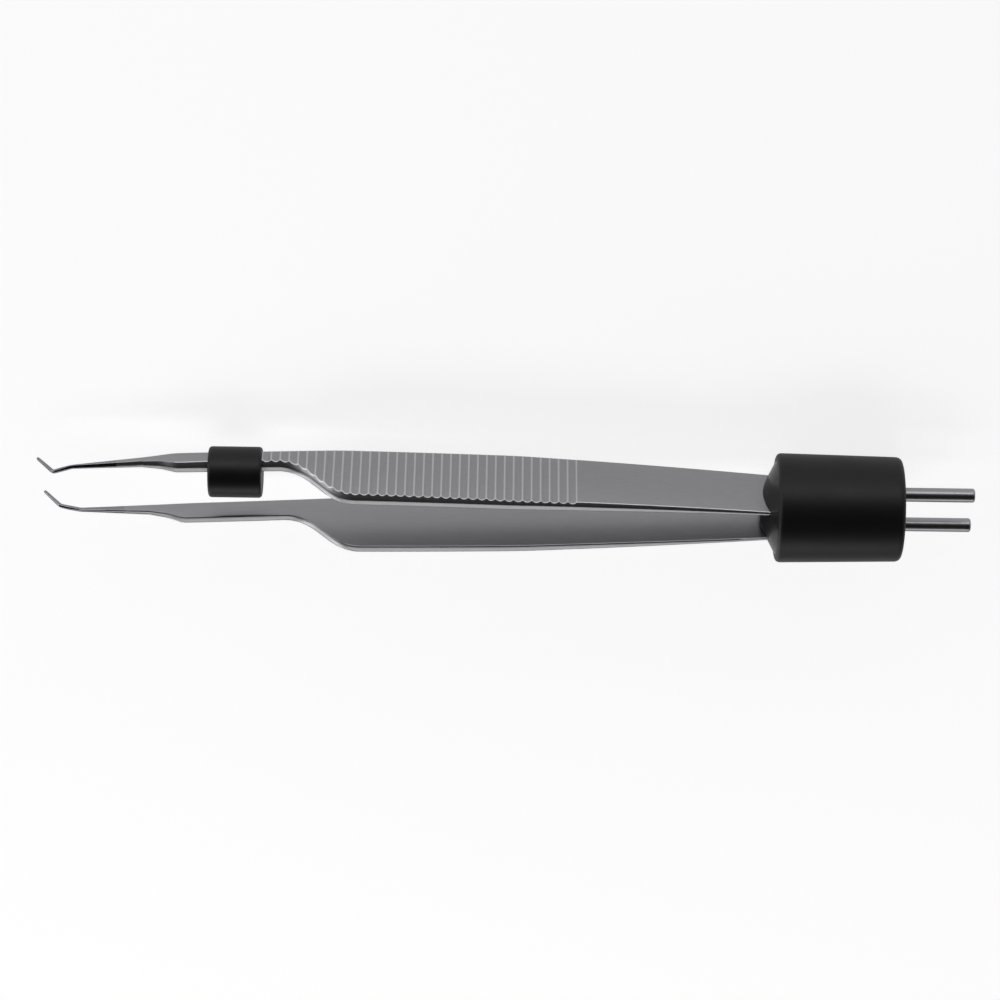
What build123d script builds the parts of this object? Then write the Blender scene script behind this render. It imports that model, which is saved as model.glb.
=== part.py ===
from build123d import *
from math import hypot, radians, sin
import os

os.makedirs("parts", exist_ok=True)

# Bipolar forceps: two sprung steel arms held apart in an insulating plug, each wired to its own
# contact pin. Sizes are millimetres. The pieces are drawn with the origin at the centre of the
# plug's rear face, +X out along the contact pins, -X toward the working tips, +Z on the side of
# the upper arm and +Y on the far side, where the tips are angled to. The last step lays them all
# on that far side, which is how the forceps rests on a table, with the origin below its middle.

# plug casing, a moulded cup that is open toward the arms
plug_length = 18.6
plug_front_dia = 15.6
plug_rear_dia = 14.85
plug_wall = 1.15
plug_end_wall = 3.0
plug_front_bevel = 0.45
plug_rear_bevel = 0.6

# contact pins, round outside the plug, with a flat tail inside that the arms are soldered to
pin_dia = 2.0
pin_spacing = 6.0
pin_reach = 9.7
pin_nose = 0.4
pin_tail_length = 12.8
pin_tail_width = 1.4
pin_tail_height = 0.7

# potting resin, which climbs the arms in a shallow cone
potting_flare = 2.3
potting_crown_radius = 2.3

# arm seen from the side: height of the inner face and thickness, at the mouth and at the shank
mouth_reach = 19.5
mouth_half_gap = 2.22
mouth_thickness = 0.58
shank_end = 103.7
shank_half_gap = 4.5
shank_thickness = 1.65
inner_bow = 0.43
outer_bow = 0.8

# arm seen from above: a long flat grip, an S-shaped step to the offset shank
root_half_width = 3.57
grip_half_width = 4.85
grip_from = 56.0
step_from = 80.1
step_to = 86.9
step_outer_round = 3.3
step_inner_round = 5.0
shank_far_edge = 4.0
shank_width = 2.85
lean_from = 80.5

# bevelled outer edges, leaving a straight land along each side
land_height = 0.95
bevel_rise = 0.75
bevel_run = 0.34

# flutes milled across the outer face of the grip
flute_from = 47.0
flute_count = 35
flute_pitch = 1.274
flute_depth = 0.2
flute_ridge = 0.12

# ground working end: a hollow taper, a set toward the other arm and an angled fine tip
hollow_reach = 4.6
hollow_width = 1.3
hollow_depth = 0.62
hollow_thickness = 1.1
neck_length = 10.1
neck_near_edge = 1.76
neck_width = 0.52
neck_half_gap = 4.09
neck_thickness = 0.62
set_length = 2.9
set_width = 0.4
set_thickness = 0.58
tip_length = 1.9
tip_offset = 4.62
tip_size = 0.48
tip_bevel = 0.12
set_round = 1.2
shoulder_round = 8.0

# closing: each arm turns by this much, and the tips are then this far apart
swing_angle = 1.62
closed_tip_gap = 0.2

# stop ring, a black sleeve pressed over the shank of the upper arm
ring_dia = 7.26
ring_length = 7.85
ring_at = 95.2
ring_drop = 1.4
ring_shift = 0.74
ring_end_bevel = 0.35

# where the arms end inside the resin, and the clearances around them
tang_reach = 9.0
solder_gap = 0.08
slot_clearance = 0.1
slot_reach = 24.0

# plug, from the sizes above
pin_height = pin_spacing / 2
pin_radius = pin_dia / 2
tail_middle = pin_height - pin_tail_height / 2
rim_slope = (plug_front_dia - plug_rear_dia) / 2 / plug_length
rim_radius = plug_front_dia / 2 - rim_slope * plug_front_bevel
bore_radius = plug_front_dia / 2 - plug_wall
crown_reach = plug_length + potting_flare

# stations along the working end
hollow_end = shank_end + hollow_reach
neck_reach = hollow_end + neck_length
set_reach = neck_reach + set_length
tip_reach = set_reach + tip_length

# side view of an arm
mouth_top = mouth_half_gap + mouth_thickness
shank_top = shank_half_gap + shank_thickness
raw_height = land_height + bevel_rise
headroom = shank_top + raw_height
tang_floor = pin_height + solder_gap
tang_top = tang_floor + mouth_thickness
tang_bend = pin_tail_length + 0.7
swing = sin(radians(swing_angle))
tip_half_gap = closed_tip_gap / 2 + (tip_reach - mouth_reach) * swing
set_half_gap = tip_half_gap + 0.6 * tip_size
tip_clear = tip_reach + 1.0

# plan view of an arm
lean = (grip_half_width - shank_far_edge) / (shank_end - lean_from)
step_corner = grip_half_width - lean * (step_to - lean_from) - shank_width
shoulder_near = shank_far_edge - shank_width
neck_far_edge = neck_near_edge + neck_width
hollow_share = hollow_reach / (neck_reach - shank_end)
hollow_far = shank_far_edge + (neck_far_edge - shank_far_edge) * hollow_share
hollow_near = hollow_far - hollow_width
hollow_floor = shank_half_gap + (neck_half_gap - shank_half_gap) * hollow_share
hollow_top = hollow_floor + hollow_thickness
neck_top = neck_half_gap + neck_thickness
set_middle = neck_near_edge + 0.2 * neck_width
set_top = set_half_gap + set_thickness
tip_top = tip_half_gap + tip_size

# half the tip's width, turned square to the direction that the tip points in
tip_slope = hypot(tip_reach - set_reach, tip_offset - set_middle)
tip_along_x = tip_size / 2 * (tip_offset - set_middle) / tip_slope
tip_along_y = tip_size / 2 * (tip_reach - set_reach) / tip_slope

# flute cutters, from the chord and depth of one flute
flute_chord = flute_pitch - flute_ridge
flute_radius = flute_chord ** 2 / (8 * flute_depth) + flute_depth / 2

# stop ring, hung low on the shank so that it reaches the other arm as the tips close
ring_height = (shank_half_gap + shank_top) / 2 - ring_drop
ring_far_edge = grip_half_width - lean * (ring_at - lean_from)
ring_side = ring_far_edge - shank_width / 2 - ring_shift

# pockets in the resin, wider at the back where a tang swings outward
swing_room = (mouth_reach - tang_reach) * swing
pocket_back = tang_reach - 0.3
pocket_half_width = root_half_width + 0.5
slot_run = slot_reach - mouth_reach
slot_floor = mouth_half_gap - slot_clearance + 0.045 * slot_run
slot_top = mouth_top + slot_clearance + 0.08 * slot_run


# flat metal arm of the upper side
with BuildPart() as upper_arm:
    # grip, step and shank from above
    with BuildSketch(Plane.XY) as grip_plan:
        with BuildLine():
            Polyline(
                (-tang_reach, -root_half_width),
                (-tang_reach, root_half_width),
                (-grip_from, grip_half_width),
                (-lean_from, grip_half_width),
                (-shank_end, shank_far_edge),
                (-shank_end, shoulder_near),
                (-step_to, step_corner),
                (-step_from, -grip_half_width),
                (-grip_from, -grip_half_width),
                close=True,
            )
        make_face()
        step_inside = grip_plan.vertices().sort_by_distance((-step_to, step_corner))[0]
        fillet(step_inside, step_inner_round)
        step_outside = grip_plan.vertices().sort_by_distance((-step_from, -grip_half_width))[0]
        fillet(step_outside, step_outer_round)
    extrude(amount=headroom)
    # bar of one height, bowed along its length
    with BuildSketch(Plane.XZ) as bar_side:
        with BuildLine():
            floor_arc = SagittaArc(
                (-mouth_reach, mouth_half_gap), (-shank_end, shank_half_gap), -inner_bow
            )
            Line(floor_arc @ 1, (-shank_end, shank_half_gap + raw_height))
            roof_arc = SagittaArc(
                (-mouth_reach, mouth_half_gap + raw_height),
                (-shank_end, shank_half_gap + raw_height),
                -inner_bow,
            )
            Polyline(
                roof_arc @ 0,
                (-tang_bend, tang_floor + raw_height),
                (-tang_reach, tang_floor + raw_height),
                (-tang_reach, tang_floor),
                (-tang_bend, tang_floor),
                floor_arc @ 0,
            )
        make_face()
    extrude(amount=2 * grip_half_width, both=True, mode=Mode.INTERSECT)
    # bevels along both outer edges
    long_faces = upper_arm.faces().sort_by(SortBy.AREA)[-2:].sort_by(Axis.Z)
    bar_roof = long_faces[1]
    bar_edges = bar_roof.edges().filter_by(Axis.Y, reverse=True)
    chamfer(bar_edges, bevel_run, bevel_rise, reference=bar_roof)
    # working end from above: hollow-ground taper, neck and angled tip
    with BuildSketch(Plane.XY) as end_plan:
        with BuildLine():
            tip_end = Line(
                (-tip_reach + tip_along_x, tip_offset + tip_along_y),
                (-tip_reach - tip_along_x, tip_offset - tip_along_y),
            )
            near_line = Polyline(
                tip_end @ 1,
                (-set_reach - tip_along_x, set_middle - set_width / 2),
                (-neck_reach, neck_near_edge),
                (-hollow_end, hollow_near),
            )
            hollow = ThreePointArc(
                near_line @ 1,
                (-shank_end - 0.45 * hollow_reach, shoulder_near + hollow_depth),
                (-shank_end, shoulder_near),
            )
            Polyline(
                hollow @ 1,
                (-shank_end, shank_far_edge),
                (-neck_reach, neck_far_edge),
                (-set_reach + tip_along_x, set_middle + set_width / 2),
                tip_end @ 0,
            )
        make_face()
    extrude(amount=headroom)
    # working end from the side
    with BuildSketch(Plane.XZ) as end_below:
        with BuildLine():
            Polyline(
                (-shank_end, 0),
                (-shank_end, shank_half_gap),
                (-neck_reach, neck_half_gap),
                (-set_reach, set_half_gap),
                (-tip_clear, tip_half_gap),
                (-tip_clear, 0),
                close=True,
            )
        make_face()
        fillet(end_below.vertices().sort_by_distance((-neck_reach, neck_half_gap))[0], set_round)
        fillet(end_below.vertices().sort_by_distance((-set_reach, set_half_gap))[0], set_round)
    extrude(amount=2 * grip_half_width, both=True, mode=Mode.SUBTRACT)
    # outer face, lowered over the root and ground away over the working end
    with BuildSketch(Plane.XZ) as outer_side:
        with BuildLine():
            outer_arc = SagittaArc((-mouth_reach, mouth_top), (-shank_end, shank_top), -outer_bow)
            Polyline(
                outer_arc @ 1,
                (-hollow_end, hollow_top),
                (-neck_reach, neck_top),
                (-set_reach, set_top),
                (-tip_clear, tip_top),
                (-tip_clear, 2 * headroom),
                (0, 2 * headroom),
                (0, tang_top),
                (-tang_bend, tang_top),
                outer_arc @ 0,
            )
        make_face()
        fillet(outer_side.vertices().sort_by_distance((-shank_end, shank_top))[0], shoulder_round)
        fillet(outer_side.vertices().sort_by_distance((-hollow_end, hollow_top))[0], shoulder_round)
        fillet(outer_side.vertices().sort_by_distance((-neck_reach, neck_top))[0], set_round)
        fillet(outer_side.vertices().sort_by_distance((-set_reach, set_top))[0], set_round)
    extrude(amount=2 * grip_half_width, both=True, mode=Mode.SUBTRACT)

    smooth_arm = upper_arm.part
    # flutes across the grip, spaced along the outer face
    first_flute = flute_from - mouth_reach + flute_pitch / 2
    cutter_rise = flute_radius - flute_depth
    flute_spots = [
        outer_arc.position_at(first_flute + n * flute_pitch, position_mode=PositionMode.LENGTH)
        for n in range(flute_count)
    ]
    with Locations(*[(spot.X, 0, spot.Y + cutter_rise) for spot in flute_spots]):
        Cylinder(flute_radius, 3 * grip_half_width, rotation=(90, 0, 0), mode=Mode.SUBTRACT)
    # bevels ground along both outer edges of the working end
    near_bevel = Plane(
        origin=(-hollow_end, hollow_near, hollow_top - 2 * tip_bevel),
        x_dir=(hollow_end - neck_reach, neck_near_edge - hollow_near, neck_top - hollow_top),
        z_dir=(0, -2, 1),
    )
    far_bevel = Plane(
        origin=(-hollow_end, hollow_far, hollow_top - 2 * tip_bevel),
        x_dir=(hollow_end - neck_reach, neck_far_edge - hollow_far, neck_top - hollow_top),
        z_dir=(0, 2, 1),
    )
    with Locations(near_bevel, far_bevel):
        Box(
            neck_reach - hollow_end,
            hollow_width,
            hollow_width,
            align=(Align.MIN, Align.CENTER, Align.MIN),
            mode=Mode.SUBTRACT,
        )

# arm of the lower side, the same leaf turned over
with BuildPart() as lower_arm:
    add(upper_arm.part.mirror(Plane.XY))

# plug casing
with BuildPart() as plug_casing:
    with BuildSketch(Plane.XZ) as casing_half:
        with BuildLine():
            Polyline(
                (-plug_end_wall, 0),
                (0, 0),
                (0, plug_rear_dia / 2),
                (-plug_length, plug_front_dia / 2),
                (-plug_length, bore_radius),
                (-plug_end_wall, bore_radius),
                close=True,
            )
        make_face()
        rear_rim = casing_half.vertices().sort_by_distance((0, plug_rear_dia / 2))[0]
        chamfer(rear_rim, plug_rear_bevel)
        front_rim = casing_half.vertices().sort_by_distance((-plug_length, plug_front_dia / 2))[0]
        chamfer(front_rim, plug_front_bevel)
    revolve(axis=Axis.X)
    with Locations((0, 0, tail_middle), (0, 0, -tail_middle)):
        Box(3 * plug_end_wall, pin_tail_width, pin_tail_height, mode=Mode.SUBTRACT)

# contact pin of the upper arm, whose flat top takes the solder of the arm's tang
with BuildPart() as upper_pin:
    with Locations((0, 0, pin_height)):
        Cylinder(
            pin_radius,
            pin_reach,
            rotation=(0, 90, 0),
            align=(Align.CENTER, Align.CENTER, Align.MIN),
        )
        Box(
            pin_tail_length,
            pin_tail_width,
            pin_tail_height,
            align=(Align.MAX, Align.CENTER, Align.MAX),
        )
    chamfer(upper_pin.edges().group_by(Axis.X)[-1], pin_nose, 0.75 * pin_nose)

# contact pin of the lower arm
with BuildPart() as lower_pin:
    add(upper_pin.part.mirror(Plane.XY))

# potting resin with a pocket that leaves each tang free to swing
with BuildPart() as potting:
    with BuildSketch(Plane.XZ) as potting_half:
        with BuildLine():
            Polyline(
                (-crown_reach, 0),
                (-crown_reach, potting_crown_radius),
                (-plug_length, bore_radius),
                (-plug_end_wall, bore_radius),
                (-plug_end_wall, 0),
                close=True,
            )
        make_face()
    revolve(axis=Axis.X)
    with Locations((0, 0, tail_middle), (0, 0, -tail_middle)):
        Box(2 * pin_tail_length, pin_tail_width, pin_tail_height, mode=Mode.SUBTRACT)
    with BuildSketch(Plane.XZ) as tang_pocket:
        with BuildLine():
            Polyline(
                (-pocket_back, pin_height),
                (-pocket_back, tang_top + slot_clearance + swing_room),
                (-tang_bend, tang_top + slot_clearance + swing_room),
                (-mouth_reach, mouth_top + slot_clearance),
                (-slot_reach, slot_top),
                (-slot_reach, slot_floor),
                (-mouth_reach, mouth_half_gap - slot_clearance),
                (-pin_tail_length, pin_height),
                close=True,
            )
        make_face()
        mirror(about=Plane.XZ)
    extrude(amount=pocket_half_width, both=True, mode=Mode.SUBTRACT)

# stop ring
with BuildPart() as stop_ring:
    with Locations((-ring_at, ring_side, ring_height)):
        Cylinder(ring_dia / 2, ring_length, rotation=(0, 90, 0))
    chamfer(stop_ring.edges().filter_by(GeomType.CIRCLE), ring_end_bevel)
    add(smooth_arm, mode=Mode.SUBTRACT)

# all pieces laid on the far side, with the plug's rim on the ground and the origin below the middle
middle = (pin_reach - tip_reach - tip_along_x) / 2
lay_down = Pos(-middle, 0, rim_radius) * Rot(-90, 0, 0)
pieces = {
    "upper_arm": upper_arm.part,
    "lower_arm": lower_arm.part,
    "plug_casing": plug_casing.part,
    "potting": potting.part,
    "upper_pin": upper_pin.part,
    "lower_pin": lower_pin.part,
    "stop_ring": stop_ring.part,
}
for name, piece in pieces.items():
    laid_piece = lay_down * piece
    laid_piece.label = name
    export_step(laid_piece, f"parts/{name}.step")
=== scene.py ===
# %% [markdown]
# # Bipolar forceps
#
# Two flat steel arms spring apart from a black plug. Each arm ends in its own contact pin, so the
# current crosses only between the fine tips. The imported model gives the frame: where every piece
# sits and which body it moves with. This lesson gives the pieces their looks. The arms are the
# hard part, because their light comes from edges: flutes, bevels and a hand-ground step.

import bpy
import numpy as np
from mathutils import Matrix, Vector


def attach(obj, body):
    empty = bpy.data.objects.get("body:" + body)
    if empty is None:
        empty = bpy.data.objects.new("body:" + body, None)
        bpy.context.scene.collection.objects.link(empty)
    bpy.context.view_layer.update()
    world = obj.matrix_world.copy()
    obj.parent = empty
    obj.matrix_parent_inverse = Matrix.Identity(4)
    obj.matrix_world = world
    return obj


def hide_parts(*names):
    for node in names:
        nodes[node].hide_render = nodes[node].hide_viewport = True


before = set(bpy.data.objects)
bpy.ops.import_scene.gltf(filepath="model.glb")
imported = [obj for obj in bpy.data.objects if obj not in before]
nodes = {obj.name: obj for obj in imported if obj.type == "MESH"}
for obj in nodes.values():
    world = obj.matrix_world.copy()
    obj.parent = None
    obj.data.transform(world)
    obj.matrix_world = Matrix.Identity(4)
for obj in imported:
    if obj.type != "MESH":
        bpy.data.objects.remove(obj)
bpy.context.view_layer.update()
MM = 0.001
print("pieces in the frame:", sorted(nodes))


# %% [markdown]
# Colours are written as the hex values that a paint chart or a screen shows. Shaders add light, so
# they need linear values. One function turns the one into the other for every material here.

# %% Colours
def linear(hex_colour):
    """sRGB hex to linear: a channel under 0.04045 is divided by 12.92, and one above it is
    raised to the power 2.4 after the usual offset and scale."""
    channels = np.array([int(hex_colour[i : i + 2], 16) for i in (1, 3, 5)]) / 255
    toe = channels / 12.92
    curve = ((channels + 0.055) / 1.055) ** 2.4
    return (*np.where(channels <= 0.04045, toe, curve).tolist(), 1.0)


print("mid grey in linear light:", [round(c, 3) for c in linear("#808080")])


# %% [markdown]
# A material is a small network of nodes. Writing each node as three or four lines hides the idea
# behind it, so one helper makes a node, fills its sockets and links them.

# %% A node with its settings and links
def add_node(owner, kind, settings=None, **sockets):
    """Adds one node to a material or to the world. settings are its own properties. Each socket,
    named with _ for a space, takes a number or colour, or is linked where the value is another
    node's output."""
    tree = owner.node_tree
    node = tree.nodes.new(kind)
    for name, value in (settings or {}).items():
        setattr(node, name, value)
    for name, value in sockets.items():
        target = node.inputs[name.replace("_", " ")]
        if isinstance(value, bpy.types.NodeSocket):
            tree.links.new(value, target)
        else:
            target.default_value = value
    return node


def new_material(name):
    """An empty node material with its output node."""
    material = bpy.data.materials.new(name)
    material.use_nodes = True
    material.node_tree.nodes.clear()
    return material, add_node(material, "ShaderNodeOutputMaterial")


def finish_material(material, output, shader):
    """Links the shader to the output and says that the material is made."""
    material.node_tree.links.new(shader.outputs[0], output.inputs["Surface"])
    print("material", material.name, "has", len(material.node_tree.nodes), "nodes")
    return material


# %% [markdown]
# The arms are stainless steel, ground and then blasted with fine glass beads so that they do not
# dazzle under a lamp. Blasting leaves a dull satin skin with a grain of a few hundredths of a
# millimetre. That is too fine to show here, so it is drawn at a quarter of a millimetre. Faint
# strokes from the grinding belt run along the arm. Fingers and cloths rub the crests and corners
# smoother, and these are also given a lighter steel colour, a painted highlight where light runs
# along the sharp edges. The last part of each working end is polished by hand. So the same recipe
# is used three times: dull, smoother with a painted highlight, and smooth as well as bright.

# %% Bead-blasted stainless steel
BLAST_GRAIN = 0.25 * MM
BELT_STROKE = 4.0 * MM
BELT_WIDTH = 0.12 * MM


def make_arm_steel(name, dark, light, smooth, rough):
    """Metal whose roughness and height follow a fine grain, and whose tone follows long strokes."""
    material, output = new_material(name)
    place = add_node(material, "ShaderNodeTexCoord").outputs["Object"]
    grain = add_node(
        material,
        "ShaderNodeTexNoise",
        Vector=place,
        Scale=1 / BLAST_GRAIN,
        Detail=3.0,
        Roughness=0.6,
    )
    stretched = add_node(
        material,
        "ShaderNodeMapping",
        Vector=place,
        Scale=(1 / BELT_STROKE, 1 / BELT_WIDTH, 1 / BELT_WIDTH),
    )
    strokes = add_node(
        material, "ShaderNodeTexNoise", Vector=stretched.outputs[0], Scale=1.0, Detail=2.0
    )
    tone = add_node(
        material,
        "ShaderNodeMix",
        {"data_type": "RGBA"},
        Factor=strokes.outputs["Fac"],
    )
    tone.inputs["A"].default_value = linear(dark)
    tone.inputs["B"].default_value = linear(light)
    roughness = add_node(
        material,
        "ShaderNodeMapRange",
        Value=grain.outputs["Fac"],
        To_Min=smooth,
        To_Max=rough,
    )
    bump = add_node(
        material,
        "ShaderNodeBump",
        Height=grain.outputs["Fac"],
        Strength=0.12,
        Distance=0.02 * MM,
    )
    shader = add_node(
        material,
        "ShaderNodeBsdfPrincipled",
        Metallic=1.0,
        Base_Color=tone.outputs["Result"],
        Roughness=roughness.outputs[0],
        Normal=bump.outputs[0],
    )
    return finish_material(material, output, shader)


blasted_steel = make_arm_steel("bead_blasted_steel", "#adadb0", "#bebec1", 0.3, 0.42)
# The lighter colour of this steel is a painted highlight for the crests and the near outer corner;
# its lower roughness stands for the real rubbing.
burnished_steel_with_painted_highlight = make_arm_steel("burnished_steel_with_painted_highlight", "#dadadd", "#e8e8ea", 0.26, 0.34)
polished_steel = make_arm_steel("polished_tip_steel", "#9a9aa0", "#acacb1", 0.1, 0.17)


# %% [markdown]
# The contact pins are turned and polished, so that they slide into a socket. Turning leaves fine
# rings around the pin. They show as a slight change of roughness along its length.

# %% Polished pin steel
TURNING_FEED = 0.2 * MM


def make_polished_steel():
    """Bright metal whose roughness changes along X with the feed of the turning tool."""
    material, output = new_material("polished_pin_steel")
    place = add_node(material, "ShaderNodeTexCoord").outputs["Object"]
    along = add_node(
        material, "ShaderNodeMapping", Vector=place, Scale=(1 / TURNING_FEED, 0.0, 0.0)
    )
    rings = add_node(material, "ShaderNodeTexNoise", Vector=along.outputs[0], Scale=1.0, Detail=2.0)
    roughness = add_node(
        material, "ShaderNodeMapRange", Value=rings.outputs["Fac"], To_Min=0.26, To_Max=0.38
    )
    shader = add_node(
        material,
        "ShaderNodeBsdfPrincipled",
        Metallic=1.0,
        Base_Color=linear("#b6b6ba"),
        Roughness=roughness.outputs[0],
    )
    return finish_material(material, output, shader)


pin_steel = make_polished_steel()


# %% [markdown]
# The plug and the stop ring are moulded in black plastic, with the fine matt texture of an eroded
# mould. The texture scatters the highlight into a soft band. The same recipe serves both, with
# its own grain for each.

# %% Moulded black plastic
def make_moulded_plastic(name, colour, grain_size, smooth, rough):
    """Plastic with a fine pebbled height and a roughness that wanders between two values."""
    material, output = new_material(name)
    place = add_node(material, "ShaderNodeTexCoord").outputs["Object"]
    pebbles = add_node(
        material, "ShaderNodeTexNoise", Vector=place, Scale=1 / grain_size, Detail=3.0
    )
    patches = add_node(
        material, "ShaderNodeTexNoise", Vector=place, Scale=1 / (20 * grain_size), Detail=2.0
    )
    roughness = add_node(
        material, "ShaderNodeMapRange", Value=patches.outputs["Fac"], To_Min=smooth, To_Max=rough
    )
    bump = add_node(
        material,
        "ShaderNodeBump",
        Height=pebbles.outputs["Fac"],
        Strength=0.25,
        Distance=0.03 * MM,
    )
    shader = add_node(
        material,
        "ShaderNodeBsdfPrincipled",
        Base_Color=linear(colour),
        Roughness=roughness.outputs[0],
        Normal=bump.outputs[0],
        IOR=1.5,
    )
    return finish_material(material, output, shader)


casing_plastic = make_moulded_plastic("moulded_black_casing", "#141416", 0.2 * MM, 0.42, 0.52)
ring_plastic = make_moulded_plastic("moulded_black_ring", "#141416", 0.16 * MM, 0.38, 0.48)


# %% [markdown]
# Casting resin fills the plug and creeps up the arms before it sets. It cures with its own skin,
# so it is smooth and glossy beside the moulded plastic.

# %% Cast resin
def make_cast_resin():
    """Smooth dark resin with slow ripples from its flow."""
    material, output = new_material("cast_black_resin")
    place = add_node(material, "ShaderNodeTexCoord").outputs["Object"]
    ripples = add_node(
        material, "ShaderNodeTexNoise", Vector=place, Scale=1 / (2.5 * MM), Detail=1.0
    )
    bump = add_node(
        material, "ShaderNodeBump", Height=ripples.outputs["Fac"], Strength=0.3, Distance=0.15 * MM
    )
    shader = add_node(
        material,
        "ShaderNodeBsdfPrincipled",
        Base_Color=linear("#171719"),
        Roughness=0.22,
        IOR=1.55,
        Normal=bump.outputs[0],
    )
    return finish_material(material, output, shader)


resin = make_cast_resin()


# %% [markdown]
# The resin already has the right shape in the frame. It keeps it and only changes its material.

# %% Material on the kept piece
for place in nodes["potting"].material_slots:
    place.material = resin
print("potting now wears", resin.name)


# %% [markdown]
# An arm could be a chain of boxes with a bevel modifier, but its grip, step, shank and tip flow
# into one another, and the flutes cut its bevels into scallops. So it is one surface on a grid:
# the first parameter runs along the arm, the second around its section. The outline comes from a
# few corners of the drawing. Averaging the straight lines between them over a short stretch
# rounds each corner, which is what a grinding wheel does.

# %% Outlines of an arm
MOUTH, SHANK_END, HOLLOW_END, NECK = 19.5, 103.9, 108.5, 118.6
TANG_END = 9.6


def ground(x, corners, reach):
    """The straight lines through the corners, averaged over plus and minus reach."""
    at, height = zip(*corners)
    steps = np.linspace(-reach, reach, 17)
    return np.mean([np.interp(x + step, at, height) for step in steps], axis=0)


def bowed(x, start, end, bow):
    """A straight line from start to end, raised in the middle by bow as a shallow parabola."""
    share = (x - start[0]) / (end[0] - start[0])
    return start[1] + (end[1] - start[1]) * share + 4 * bow * share * (1 - share)


def far_edge(x):
    """The arm's edge that lies on the table side: almost straight, tapering to both ends."""
    return ground(
        x,
        [(TANG_END, 3.6), (56, 5.0), (80.5, 4.97), (SHANK_END, 3.66), (NECK, 2.12), (124.5, 1.5)],
        2.0,
    )


def near_edge(x):
    """The other edge: the grip, the S of the step, the shank, the hollow and the working end."""
    grip = ground(
        x, [(TANG_END, -3.57), (56, -4.85), (80.6, -4.85), (87.0, 1.53), (104.4, 0.7)], 2.3
    )
    hollow = ground(x, [(103.1, 0.73), (SHANK_END, 0.75), (106.0, 1.45), (HOLLOW_END, 1.8)], 0.5)
    end = ground(x, [(HOLLOW_END, 1.85), (NECK, 1.62), (124.5, 1.4)], 0.3)
    return np.where(x < SHANK_END - 0.5, grip, np.where(x < HOLLOW_END, hollow, end))


x_axis = np.linspace(TANG_END, NECK, 12)
print("width along the arm, mm:", np.round(far_edge(x_axis) - near_edge(x_axis), 2))


# %% [markdown]
# From the side an arm is a leaf spring: thin where it leaves the plug, three times as thick at
# the shank, bowed a little outward and ground away toward the tip. The last few millimetres are
# set inward, so that the tips meet first. The flutes are shallow round troughs with a narrow
# ridge left between them.

# %% Side profile and flutes of an arm
FLUTE_FROM, FLUTE_COUNT, FLUTE_PITCH = 47.0, 35, 1.274
FLUTE_DEPTH, FLUTE_RIDGE = 0.2, 0.12
BLEND_FROM = 98.0


def inner_face(x):
    """Height of the face toward the other arm: cranked tang, bowed leaf, inward-set end."""
    leaf = bowed(x, (MOUTH, 2.22), (SHANK_END, 4.5), 0.43)
    tang = ground(x, [(TANG_END, 3.08), (13.5, 3.08), (MOUTH, 2.22), (24, 2.44)], 0.3)
    end = ground(x, [(SHANK_END, 4.5), (NECK, 4.09), (121.5, 3.0), (125, 2.5)], 0.35)
    return np.where(x < MOUTH + 0.5, tang, np.where(x < SHANK_END, leaf, end))


def outer_face(x):
    """Height of the outer face before the flutes. Its bowed leaf eases into the straight shank
    between BLEND_FROM and the shank's end."""
    leaf = bowed(x, (MOUTH, 2.8), (SHANK_END, 6.15), 1.0)
    tang = ground(x, [(TANG_END, 3.66), (13.5, 3.66), (MOUTH, 2.8), (24, 3.15)], 0.3)
    end = ground(
        x,
        [(95, 6.13), (SHANK_END, 6.13), (HOLLOW_END, 5.48), (NECK, 4.72), (121.5, 3.6), (125, 3.0)],
        0.35,
    )
    ease = np.clip((x - BLEND_FROM) / (SHANK_END - BLEND_FROM - 1), 0, 1)
    body = np.where(x < SHANK_END, (1 - ease) * leaf + ease * end, end)
    return np.where(x < MOUTH + 0.5, tang, body)


def flute_drop(x):
    """Depth of the trough at x: a parabola across each chord, nothing on the ridges."""
    turns = (x - FLUTE_FROM) / FLUTE_PITCH
    across = (2 * np.mod(turns, 1) - 1) / (1 - FLUTE_RIDGE / FLUTE_PITCH)
    inside = (turns > 0) & (turns < FLUTE_COUNT)
    return np.where(inside, FLUTE_DEPTH * np.clip(1 - across**2, 0, None), 0)


stations = np.concatenate(
    [
        np.linspace(TANG_END, FLUTE_FROM - 0.05, 90),
        np.linspace(FLUTE_FROM, FLUTE_FROM + FLUTE_COUNT * FLUTE_PITCH, FLUTE_COUNT * 16 + 1),
        np.linspace(92, NECK, 150),
    ]
)
print("stations along an arm:", len(stations), "deepest flute, mm:", flute_drop(stations).max())


# %% [markdown]
# The section of an arm is a hexagon: a wide inner face, a straight land on each side, a bevel
# above each land, and the outer face. Each corner is softened by a small curve. The curve starts
# a little before the corner and ends a little after it, and pulls toward the corner in between.

# %% The section of an arm
LAND, LAND_SHARE, BEVEL_SLOPE = 1.0, 0.64, 0.85
FINE_LAND_SHARE, FINE_SLOPE = 0.5, 0.5
WIDEST_BEVEL, LOWEST_BEVEL = 0.3, 0.02
CORNER_STEPS, CORNER_SHARE = 4, 0.46
STEP_MIDDLE, STEP_SPREAD, FINE_RUN = 84.0, 3.6, 3.0


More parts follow.
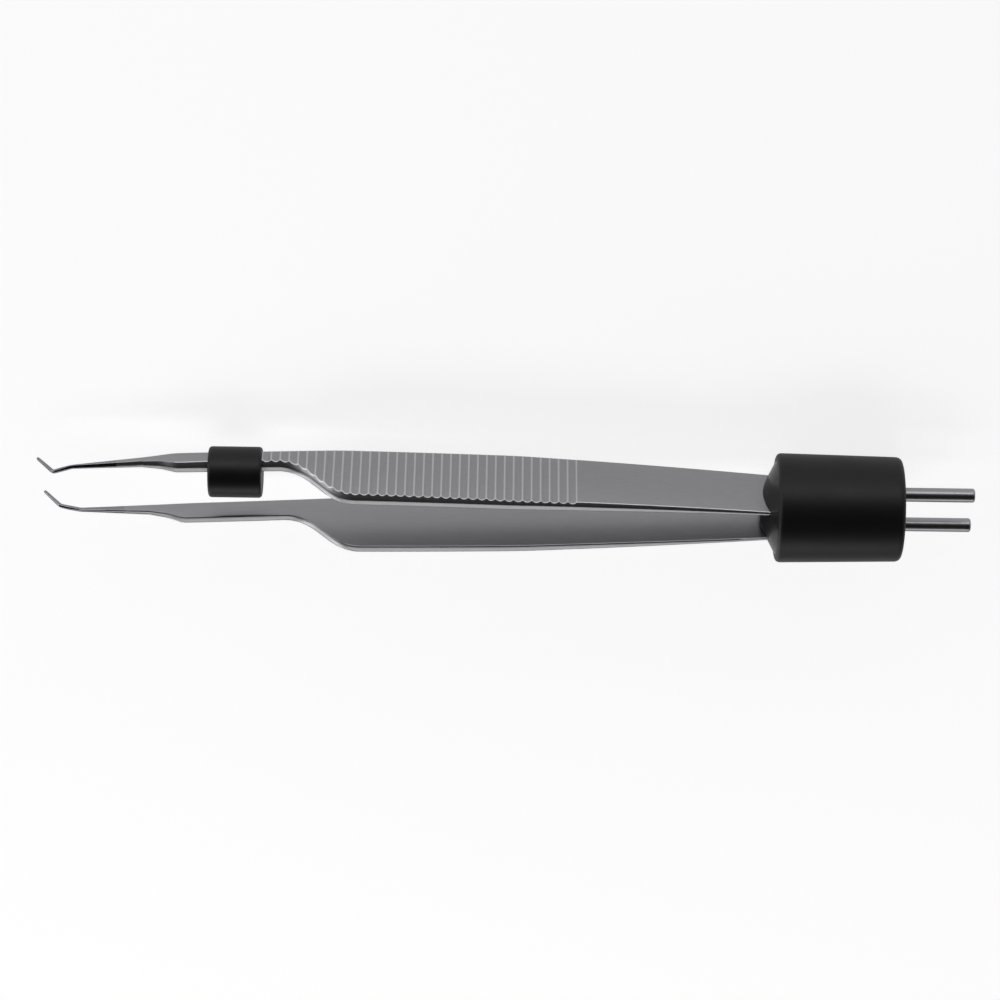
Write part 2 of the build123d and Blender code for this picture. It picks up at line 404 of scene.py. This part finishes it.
def hexagon(x):
    """Six corners per station as (across, height), counted from the inner near corner. A land is
    LAND high, but at most LAND_SHARE of the thickness. Above it a bevel of at least LOWEST_BEVEL
    runs inward by its slope times its height, but at most WIDEST_BEVEL of the width. Both
    change to the FINE values from the shank's end to the end of the hollow."""
    near, far, low = near_edge(x), far_edge(x), inner_face(x)
    high = outer_face(x) - flute_drop(x)
    fine = np.clip((x - SHANK_END) / (HOLLOW_END - SHANK_END), 0, 1)
    thick = outer_face(x) - low
    land = (1 - fine) * np.minimum(LAND, LAND_SHARE * thick) + fine * FINE_LAND_SHARE * thick
    land_top = np.minimum(low + land, high - LOWEST_BEVEL)
    slope = BEVEL_SLOPE * (1 - fine) + FINE_SLOPE * fine
    run = np.minimum((high - land_top) * slope, WIDEST_BEVEL * (far - near))
    across = np.stack([near, near, near + run, far - run, far, far], axis=1)
    height = np.stack([low, land_top, high, high, land_top, low], axis=1)
    return across, height


def softened(across, height, radius):
    """Replaces each corner by a quadratic curve. It leaves and joins the sides at radius from the
    corner, but at most at CORNER_SHARE of a side."""
    corner = np.stack([across, height], axis=2)
    before = np.roll(corner, 1, axis=1) - corner
    after = np.roll(corner, -1, axis=1) - corner

    def part_way(side):
        length = np.linalg.norm(side, axis=2, keepdims=True)
        return side * np.minimum(radius[..., None] / np.maximum(length, 1e-6), CORNER_SHARE)

    start, stop = part_way(before), part_way(after)
    t = np.linspace(0, 1, CORNER_STEPS)[None, None, :, None]
    curve = (1 - t) ** 2 * start[:, :, None] + t**2 * stop[:, :, None]
    points = corner[:, :, None] + curve
    return points.reshape(len(corner), -1, 2)


def corner_radius(x):
    """Six radii per station. Each is its value on the grip, with one part that rises and falls as
    a bell around STEP_MIDDLE and one that changes over FINE_RUN beyond the shank. So bevel
    corners are sharp on the grip, and soft on the hand-ground step and working end."""
    step = np.exp(-(((x - STEP_MIDDLE) / STEP_SPREAD) ** 2))
    fine = np.clip((x - SHANK_END) / FINE_RUN, 0, 1)
    inner = 0.24 + 0.04 * step - 0.04 * fine
    land = 0.09 + 0.34 * step + 0.1 * fine
    outer = 0.1 + 0.06 * step + 0.06 * fine
    far = 0.06 + 0.1 * fine
    return np.stack([inner, land, outer, far, far, 0.08 + 0.1 * fine], axis=1)


rings = softened(*hexagon(stations), corner_radius(stations))
print("points in one section:", rings.shape[1])


# %% [markdown]
# The tip leaves the neck at about fifty degrees. Sections cut across X would be stretched there,
# so from the neck onward the section is carried along a path instead, and turns with it. The
# section shrinks and grows round on the way, and closes in a small dome.

# %% The angled tip as a swept section
TIP_STATIONS = 70
TIP_REACH, TIP_OFFSET, TIP_GAP, TIP_SIZE = 124.0, 4.6, 3.1, 0.46
BEND_REACH = 0.32
ROOT_RADIUS = 0.35
ROUND_BY = 0.25
DOME_FROM, DOME_SPAN = 0.94, 0.0601
SMALLEST_END = 0.02


def tip_path():
    """Centre line from the neck to the tip: straight runs, averaged to round the two bends."""
    corners = np.array(
        [
            [NECK - 3, 2.2, 4.56],
            [NECK, 1.95, 4.54],
            [121.4, 1.76, 3.5],
            [TIP_REACH, TIP_OFFSET, TIP_GAP + TIP_SIZE / 2],
            [TIP_REACH + 1.9, TIP_OFFSET + 2.76, TIP_GAP + TIP_SIZE / 2 - 0.1],
        ]
    )
    length = np.concatenate([[0], np.cumsum(np.linalg.norm(np.diff(corners, axis=0), axis=1))])
    spot = np.linspace(length[1], length[3], TIP_STATIONS)
    columns = [ground(spot, list(zip(length, column)), BEND_REACH) for column in corners.T]
    return np.stack(columns, axis=1)


path = tip_path()
heading = np.gradient(path, axis=0)
heading /= np.linalg.norm(heading, axis=1, keepdims=True)
sideways = np.stack([-heading[:, 1], heading[:, 0], np.zeros(TIP_STATIONS)], axis=1)
sideways /= np.linalg.norm(sideways, axis=1, keepdims=True)
upward = np.cross(heading, sideways)

last = rings[-1] - rings[-1].mean(axis=0)
angle = np.arctan2(last[:, 1], last[:, 0])
share = np.linspace(0, 1, TIP_STATIONS)[:, None]
circle = np.stack([np.cos(angle), np.sin(angle)], axis=1)
size = ROOT_RADIUS + (TIP_SIZE / 2 - ROOT_RADIUS) * share
past = np.clip(share - DOME_FROM, 0, 1) / DOME_SPAN
dome = np.sqrt(np.clip(1 - past**2, 0, 1))
rounding = np.clip(share / ROUND_BY, 0, 1)[..., None]
shapes = (1 - rounding) * last[None] + rounding * circle[None] * size[..., None]
shapes = shapes * np.maximum(dome, SMALLEST_END)[..., None]
tip_rings = (
    path[:, None]
    + shapes[..., :1] * sideways[:, None]
    + shapes[..., 1:] * upward[:, None]
)
straight = np.stack(
    [
        np.broadcast_to(stations[:, None], rings.shape[:2]),
        rings[..., 0],
        rings[..., 1],
    ],
    axis=2,
)
start_shift = straight[-1].mean(axis=0) - tip_rings[0].mean(axis=0)
tip_rings = tip_rings + start_shift * (1 - share[..., None])
arm_rings = np.concatenate([straight[:-1], tip_rings])
tip_end = arm_rings[-1].mean(axis=0)
print("sections in the whole arm:", len(arm_rings), "tip at mm", np.round(tip_end, 2))


# %% [markdown]
# Joining each section to the next with quads gives the skin. The two ends are closed with one
# face each. The lower arm is the same leaf turned over, so its height and the order of its
# corners are both reversed, which keeps the faces outward. The drawing shows the forceps with its
# arms one above the other. On the table it lies on its side, so the drawing's far edges go down.

# %% From sections to a mesh
MIDDLE, AXIS_HEIGHT = 56.849, 7.791


def skin(name, points, flip):
    """A closed tube: quad (i, j) joins corner j and j + 1 of sections i and i + 1."""
    count, around = points.shape[:2]
    i, j = np.meshgrid(np.arange(count - 1), np.arange(around), indexing="ij")
    k = (j + 1) % around
    here, next_one = i * around, (i + 1) * around
    quads = np.stack([here + j, here + k, next_one + k, next_one + j], axis=-1).reshape(-1, 4)
    caps = [np.arange(around)[::-1], (count - 1) * around + np.arange(around)]
    if flip:
        quads, caps = quads[:, ::-1], [cap[::-1] for cap in caps]
    mesh = bpy.data.meshes.new(name)
    mesh.from_pydata(
        (points.reshape(-1, 3) * MM).tolist(), [], quads.tolist() + [cap.tolist() for cap in caps]
    )
    mesh.validate()
    mesh.update()
    piece = bpy.data.objects.new(name, mesh)
    bpy.context.scene.collection.objects.link(piece)
    return piece


def volume_of(piece):
    """A third of the sum of area times the distance of each face from the origin, which is
    positive only where the faces look outward."""
    faces = piece.data.polygons
    return sum(Vector(f.center).dot(Vector(f.normal)) * f.area for f in faces) / 3 / MM**3


POLISHED_FROM = 112.3
CREST_SHARE = 0.24


def finish_and_painted_highlight_of_faces():
    """A material number for each quad of the skin. It is 1, rubbed smoother and painted lighter as
    a painted highlight, on the crests between flutes, from bevel to bevel, and along the corner
    where the outer face meets the near bevel. It is 2, polished, on the last part of the working
    end, and
    0 everywhere else."""
    middle = arm_rings[:-1, 0, 0]
    turns = (middle - FLUTE_FROM) / FLUTE_PITCH
    fluted = (turns > -0.1) & (turns < FLUTE_COUNT + 0.1)
    crest = fluted & (flute_drop(middle) < CREST_SHARE * FLUTE_DEPTH)
    corner = np.arange(arm_rings.shape[1]) // CORNER_STEPS
    outer_near, outer_far = corner == 2, corner == 3
    final = np.arange(arm_rings.shape[1]) % CORNER_STEPS == CORNER_STEPS - 1
    rubbed_and_highlit_corner = outer_near & ~final
    outer = outer_near | (outer_far & ~final)
    # Crests and the outer near corner take the lighter steel: rubbed smoother, and painted lighter
    # as a painted highlight.
    rubbed_and_highlit = (crest[:, None] & outer[None]) | ((middle < SHANK_END)[:, None] & rubbed_and_highlit_corner[None])
    return np.where((middle > POLISHED_FROM)[:, None], 2, rubbed_and_highlit.astype(np.int32))


def make_arm(name, side, sunk, body, node):
    """One arm, laid on its far side: the point (x, across, height) of the drawing becomes
    (MIDDLE - x, side * height, AXIS_HEIGHT - across). MIDDLE is the way from the plug's rear face
    to the origin, AXIS_HEIGHT is how high the plug's axis lies above the table, and side is +1
    for the upper arm and -1 for the lower. sunk is how much deeper the arm sits in the resin,
    because hands placed it before the pour."""
    x, across, height = np.moveaxis(arm_rings, 2, 0)
    laid = np.stack([MIDDLE - x + sunk, side * height, AXIS_HEIGHT - across], axis=2)
    piece = skin(name, laid, flip=side < 0)
    piece.data.shade_smooth()
    piece.data.set_sharp_from_angle(angle=np.radians(35))
    # The second steel carries the painted highlight on crests and corners.
    for steel in (blasted_steel, burnished_steel_with_painted_highlight, polished_steel):
        piece.data.materials.append(steel)
    tang_cap, tip_cap = 0, 2
    numbers = np.append(finish_and_painted_highlight_of_faces().ravel(), [tang_cap, tip_cap]).astype(np.int32)
    piece.data.polygons.foreach_set("material_index", numbers)
    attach(piece, body)
    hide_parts(node)
    print(name, "faces", len(piece.data.polygons), "volume, mm3", round(volume_of(piece), 1))
    return piece


make_arm("upper_arm_leaf", 1, 0.0, "upper_leaf", "upper_arm")
make_arm("lower_arm_leaf", -1, 0.5, "lower_leaf", "lower_arm")


# %% [markdown]
# The plug's casing, the stop ring and the two pins are round, so a profile turned about their axis
# is enough. Moulds have no sharp corners: each corner of the profile is replaced by the same
# quadratic curve that softens an arm. The casing's profile runs from its rear face over the rims
# into the bore. A pin's runs from its rounded end into the plug. A flat cap closes each end of a
# profile, so the casing's rear wall and the pins' ends are closed.

# %% Turned pieces
AROUND = 144


def turned(name, profile, centre, material, body, node):
    """Turns (x, radius, corner) points about X through the centre (across, height). The point at
    angle a lies at height + radius cos a and across + radius sin a."""
    outline = [profile[0][:2]]
    for before, (x, radius, corner), after in zip(profile, profile[1:], profile[2:]):
        spot = np.array([x, radius])
        sides = [np.array(other[:2]) - spot for other in (before, after)]
        ways = [side / np.linalg.norm(side) * corner for side in sides]
        t = np.linspace(0, 1, 7 if corner else 1)[:, None]
        outline += (spot + (1 - t) ** 2 * ways[0] + t**2 * ways[1]).tolist()
    outline.append(profile[-1][:2])
    x, radius = np.array(outline).T[:, :, None]
    angle = np.linspace(0, 2 * np.pi, AROUND, endpoint=False)[None]
    height, across = centre[1] + radius * np.cos(angle), centre[0] + radius * np.sin(angle)
    length = np.broadcast_to(MIDDLE - x, height.shape)
    points = np.stack([length, height, AXIS_HEIGHT - across], axis=2)
    piece = skin(name, points, flip=False)
    piece.data.shade_smooth()
    piece.data.set_sharp_from_angle(angle=np.radians(35))
    piece.data.materials.append(material)
    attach(piece, body)
    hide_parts(node)
    print(name, "profile points", len(outline), "volume, mm3", round(volume_of(piece), 1))
    return piece


PLUG_REAR, PLUG_FRONT, BORE_END = 0.7, 18.6, 3.0
REAR_RADIUS, FRONT_RADIUS, BORE_RADIUS, PLUG_CAP = 7.44, 7.8, 6.65, 3.0
turned(
    "plug_shell",
    [
        (PLUG_REAR, PLUG_CAP, 0),
        (PLUG_REAR, REAR_RADIUS, 1.0),
        (PLUG_FRONT, FRONT_RADIUS, 0.8),
        (PLUG_FRONT, BORE_RADIUS, 0.15),
        (BORE_END, BORE_RADIUS, 0.3),
        (BORE_END, PLUG_CAP, 0),
    ],
    (0, 0),
    casing_plastic,
    "plug",
    "plug_casing",
)

RING_FROM, RING_TO, RING_RADIUS, RING_CORNER, RING_CAP = 91.65, 99.25, 3.63, 0.55, 2.0
RING_CENTRE = (1.83, 3.8)
turned(
    "stop_ring_sleeve",
    [
        (RING_FROM, RING_CAP, 0),
        (RING_FROM, RING_RADIUS, RING_CORNER),
        (RING_TO, RING_RADIUS, RING_CORNER),
        (RING_TO, RING_CAP, 0),
    ],
    RING_CENTRE,
    ring_plastic,
    "upper_leaf",
    "stop_ring",
)

PIN_END, PIN_ROOT, PIN_RADIUS, PIN_CORNER, PIN_CAP = -9.5, 2.0, 1.0, 0.4, 0.3
PIN_HEIGHT = 3.0
for node, height in (("upper_pin", PIN_HEIGHT), ("lower_pin", -PIN_HEIGHT)):
    turned(
        node + "_turned",
        [
            (PIN_END, PIN_CAP, 0),
            (PIN_END, PIN_RADIUS, PIN_CORNER),
            (PIN_ROOT, PIN_RADIUS, 0),
            (PIN_ROOT, PIN_CAP, 0),
        ],
        (0, height),
        pin_steel,
        "plug",
        node,
    )


# %% [markdown]
# The instrument lies on a white sweep. Polished metal is drawn by what it reflects. The outer
# face of the arm in front leans toward the camera's side and mirrors the floor before it. The
# edges look up and mirror the room behind, and the bevels between them mirror the dark ceiling.
# So the room is dark overhead, a soft lamp stands low in front and another high behind. Two more,
# low on the left, draw the edge and the bevel of the step, which turn that way. The floor is
# shown white to the camera and to reflections, while it keeps its shadow.

# %% Floor, room and lamps
FLOOR_HALF = 1500 * MM
CAMERA_GLOW, MIRROR_GLOW = 0.79, 0.38
HORIZON_LIGHT, CEILING_LIGHT = 0.34, 0.012
HORIZON_Z, CEILING_Z = 0.15, 0.6


def make_floor():
    """A square at table height. Its glow is CAMERA_GLOW for rays from the camera and MIRROR_GLOW
    for reflected rays, and nothing for the light that makes the shadow."""
    signs = [(-1, -1), (1, -1), (1, 1), (-1, 1)]
    mesh = bpy.data.meshes.new("floor")
    mesh.from_pydata([(x * FLOOR_HALF, y * FLOOR_HALF, 0) for x, y in signs], [], [(0, 1, 2, 3)])
    floor = bpy.data.objects.new("floor", mesh)
    bpy.context.scene.collection.objects.link(floor)
    material, output = new_material("white_floor")
    ray = add_node(material, "ShaderNodeLightPath")
    seen = add_node(material, "ShaderNodeMath", {"operation": "MULTIPLY"})
    material.node_tree.links.new(ray.outputs["Is Camera Ray"], seen.inputs[0])
    seen.inputs[1].default_value = CAMERA_GLOW
    glow = add_node(material, "ShaderNodeMath", {"operation": "MULTIPLY_ADD"})
    material.node_tree.links.new(ray.outputs["Is Glossy Ray"], glow.inputs[0])
    glow.inputs[1].default_value = MIRROR_GLOW
    material.node_tree.links.new(seen.outputs[0], glow.inputs[2])
    shader = add_node(
        material,
        "ShaderNodeBsdfPrincipled",
        Base_Color=linear("#e0e0e0"),
        Roughness=0.9,
        Specular_IOR_Level=0.1,
        Emission_Color=(1.0, 1.0, 1.0, 1.0),
        Emission_Strength=glow.outputs[0],
    )
    mesh.materials.append(finish_material(material, output, shader))
    return floor


def make_room():
    """World light by the z of the direction looked in: HORIZON_LIGHT up to HORIZON_Z, then a
    straight fall to CEILING_LIGHT at CEILING_Z, and no change above it."""
    world = bpy.data.worlds.new("studio_room")
    bpy.context.scene.world = world
    world.use_nodes = True
    world.node_tree.nodes.clear()
    place = add_node(world, "ShaderNodeTexCoord").outputs["Generated"]
    split = add_node(world, "ShaderNodeSeparateXYZ", Vector=place)
    strength = add_node(
        world,
        "ShaderNodeMapRange",
        Value=split.outputs["Z"],
        From_Min=HORIZON_Z,
        From_Max=CEILING_Z,
        To_Min=HORIZON_LIGHT,
        To_Max=CEILING_LIGHT,
    )
    sky = add_node(world, "ShaderNodeBackground", Strength=strength.outputs[0])
    add_node(world, "ShaderNodeOutputWorld", Surface=sky.outputs[0])
    print("world light falls from", HORIZON_LIGHT, "at the horizon to", CEILING_LIGHT)


def add_softbox(name, spot, target, width, height, watts):
    """A rectangular lamp at spot that faces target, both in mm."""
    lamp = bpy.data.lights.new(name, "AREA")
    lamp.shape = "RECTANGLE"
    lamp.size, lamp.size_y, lamp.energy = width * MM, height * MM, watts
    holder = bpy.data.objects.new(name, lamp)
    aim = Vector(target) - Vector(spot)
    facing = aim.to_track_quat("-Z", "Y").to_matrix().to_4x4()
    holder.matrix_world = Matrix.Translation(Vector(spot) * MM) @ facing
    bpy.context.scene.collection.objects.link(holder)
    print("lamp", name, watts, "W")
    return holder


LIT_POINT = (0, 0, 8)
make_floor()
make_room()
add_softbox("low_front", (0, 640, 120), LIT_POINT, 800, 200, 0.7)
add_softbox("high_back", (0, -460, 440), LIT_POINT, 800, 260, 0.8)
add_softbox("left_front", (-620, 250, 160), LIT_POINT, 500, 300, 0.6)
add_softbox("left_back", (-480, -480, 110), LIT_POINT, 500, 240, 0.65)


# %% [markdown]
# The photograph looks down at forty-five degrees from half a metre away, and is printed upside
# down, as pictures of hand instruments often are. So the camera is rolled by half a turn, and by
# a fraction of a degree more, because the instrument lies a little out of level in the picture.
# It aims at the middle of the instrument, so that every other view of it is framed as well.

# %% Camera
DISTANCE, ELEVATION, ROLL = 500.0, 44.7, 180.82
FRAME_WIDTH, SENSOR = 142.5, 36.0
TARGET = (-0.99, 0.34, 7.38)


def make_camera():
    """The camera stands DISTANCE from the target. A lens of SENSOR times DISTANCE over FRAME_WIDTH
    makes the sensor see FRAME_WIDTH at the target."""
    up = np.radians(ELEVATION)
    away = Vector((0.0, np.cos(up), np.sin(up)))
    target = Vector(TARGET) * MM
    lens = bpy.data.cameras.new("camera")
    lens.sensor_width, lens.lens = SENSOR, SENSOR * DISTANCE / FRAME_WIDTH
    lens.clip_start = 0.01
    camera = bpy.data.objects.new("camera", lens)
    facing = (-away).to_track_quat("-Z", "Y").to_matrix().to_4x4()
    rolled = Matrix.Rotation(np.radians(ROLL), 4, "Z")
    camera.matrix_world = Matrix.Translation(target + away * DISTANCE * MM) @ facing @ rolled
    bpy.context.scene.collection.objects.link(camera)
    bpy.context.scene.camera = camera
    return camera


make_camera()
bpy.context.scene.view_settings.view_transform = "Standard"
